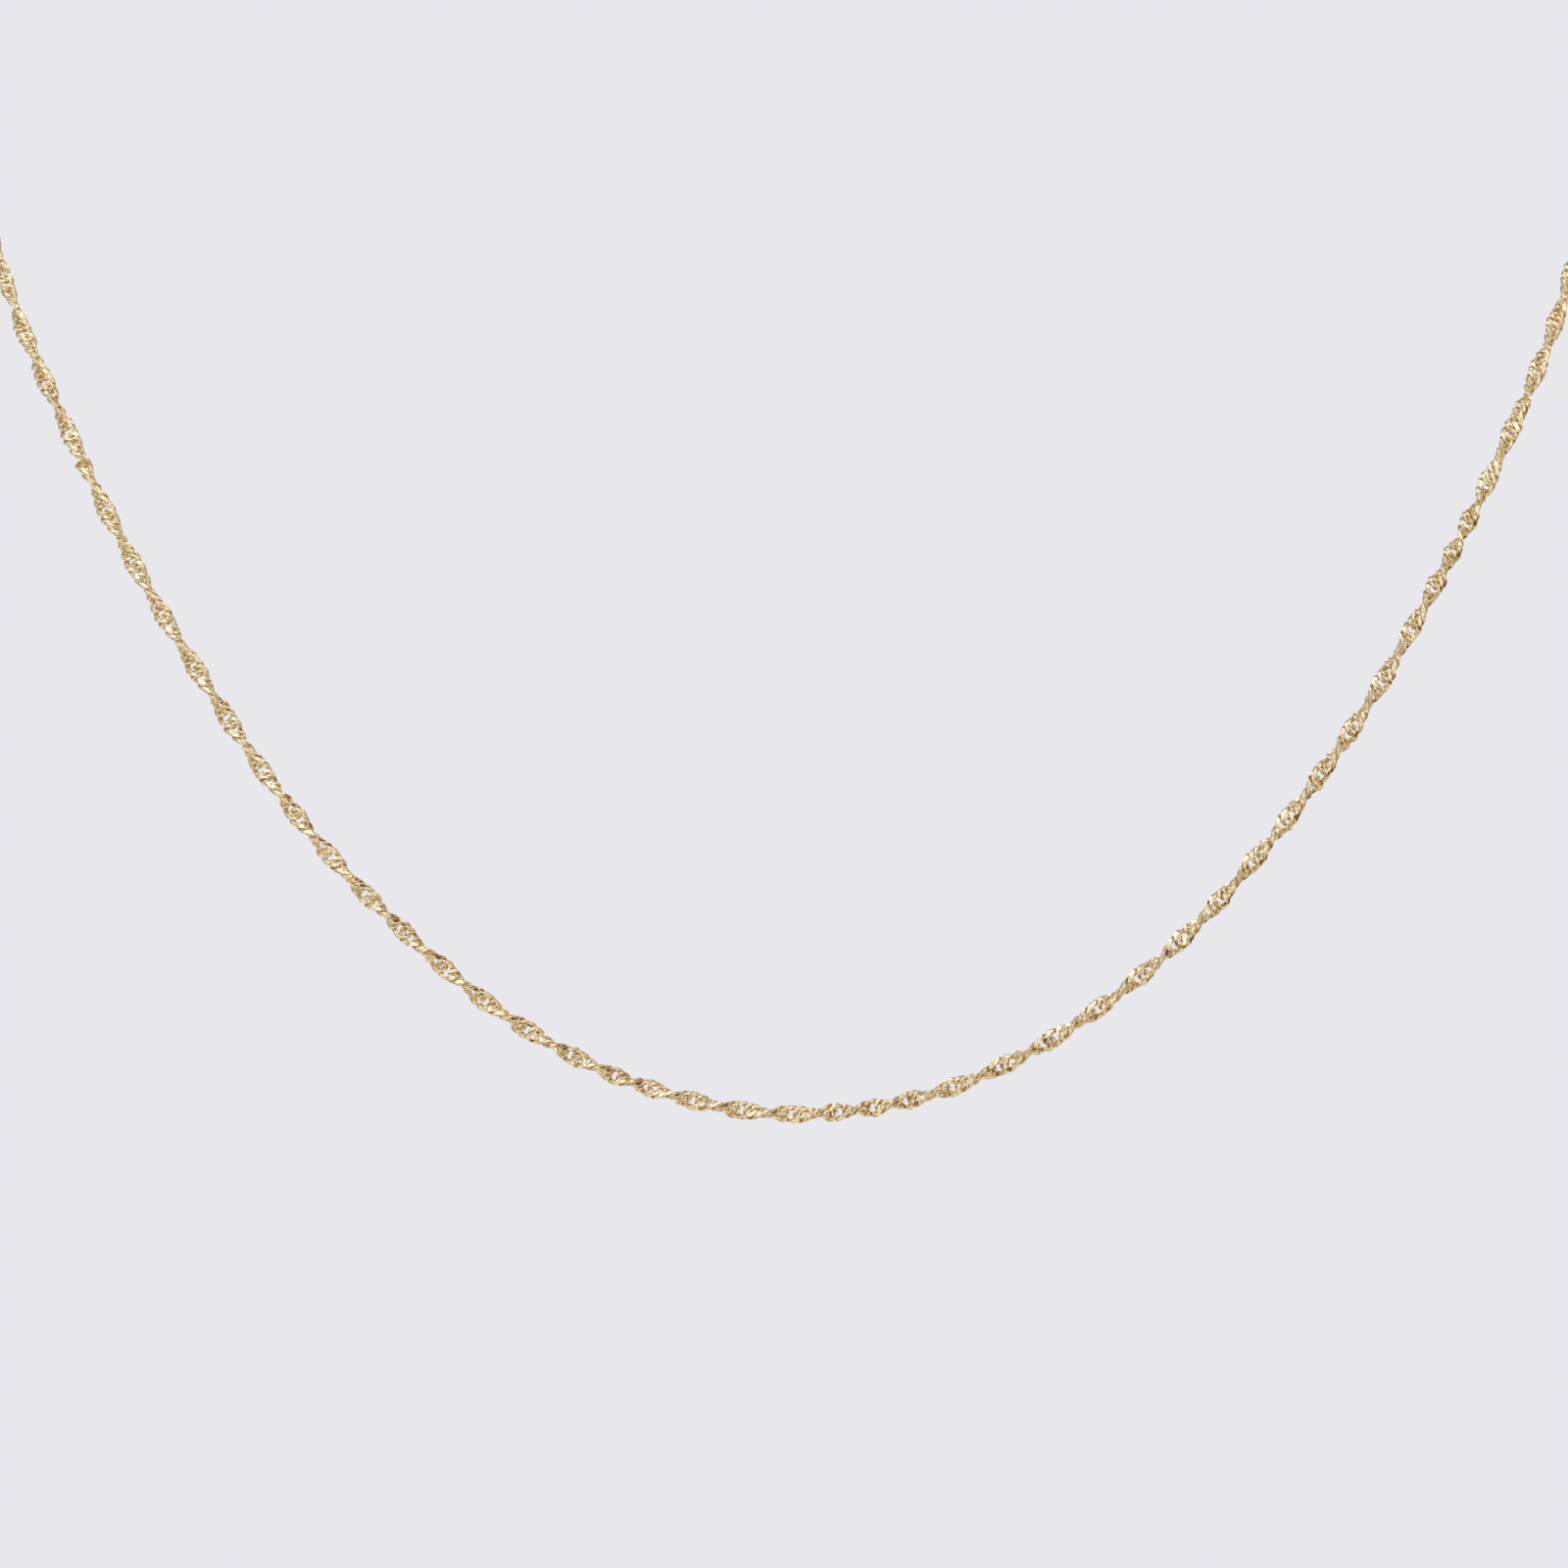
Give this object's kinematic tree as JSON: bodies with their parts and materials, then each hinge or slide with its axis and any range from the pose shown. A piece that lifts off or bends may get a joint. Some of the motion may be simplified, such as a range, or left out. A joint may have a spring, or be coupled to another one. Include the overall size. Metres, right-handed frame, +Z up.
{
  "type": "singapore chain necklace",
  "caption": "Fine twisted singapore chain necklace, closed with a spring ring clasp and hanging as worn round a neck.",
  "frame": {"origin": "middle of the clasp at the nape of the neck, where the necklace sits", "axes": "+Z up, -Y towards the front of the wearer, X across the shoulders"},
  "size_m": [0.114, 0.1143, 0.1096],
  "materials": {
    "chain_gold": "polished yellow gold with bright diamond-cut facets",
    "finding_gold": "polished yellow gold, plain round wire"
  },
  "bodies": {
    "root": {"chain": "chain_gold", "end_link_left": "finding_gold", "end_link_right": "finding_gold", "catch_ring": "finding_gold", "joining_ring": "finding_gold", "clasp": "finding_gold"}
  },
  "joints": []
}
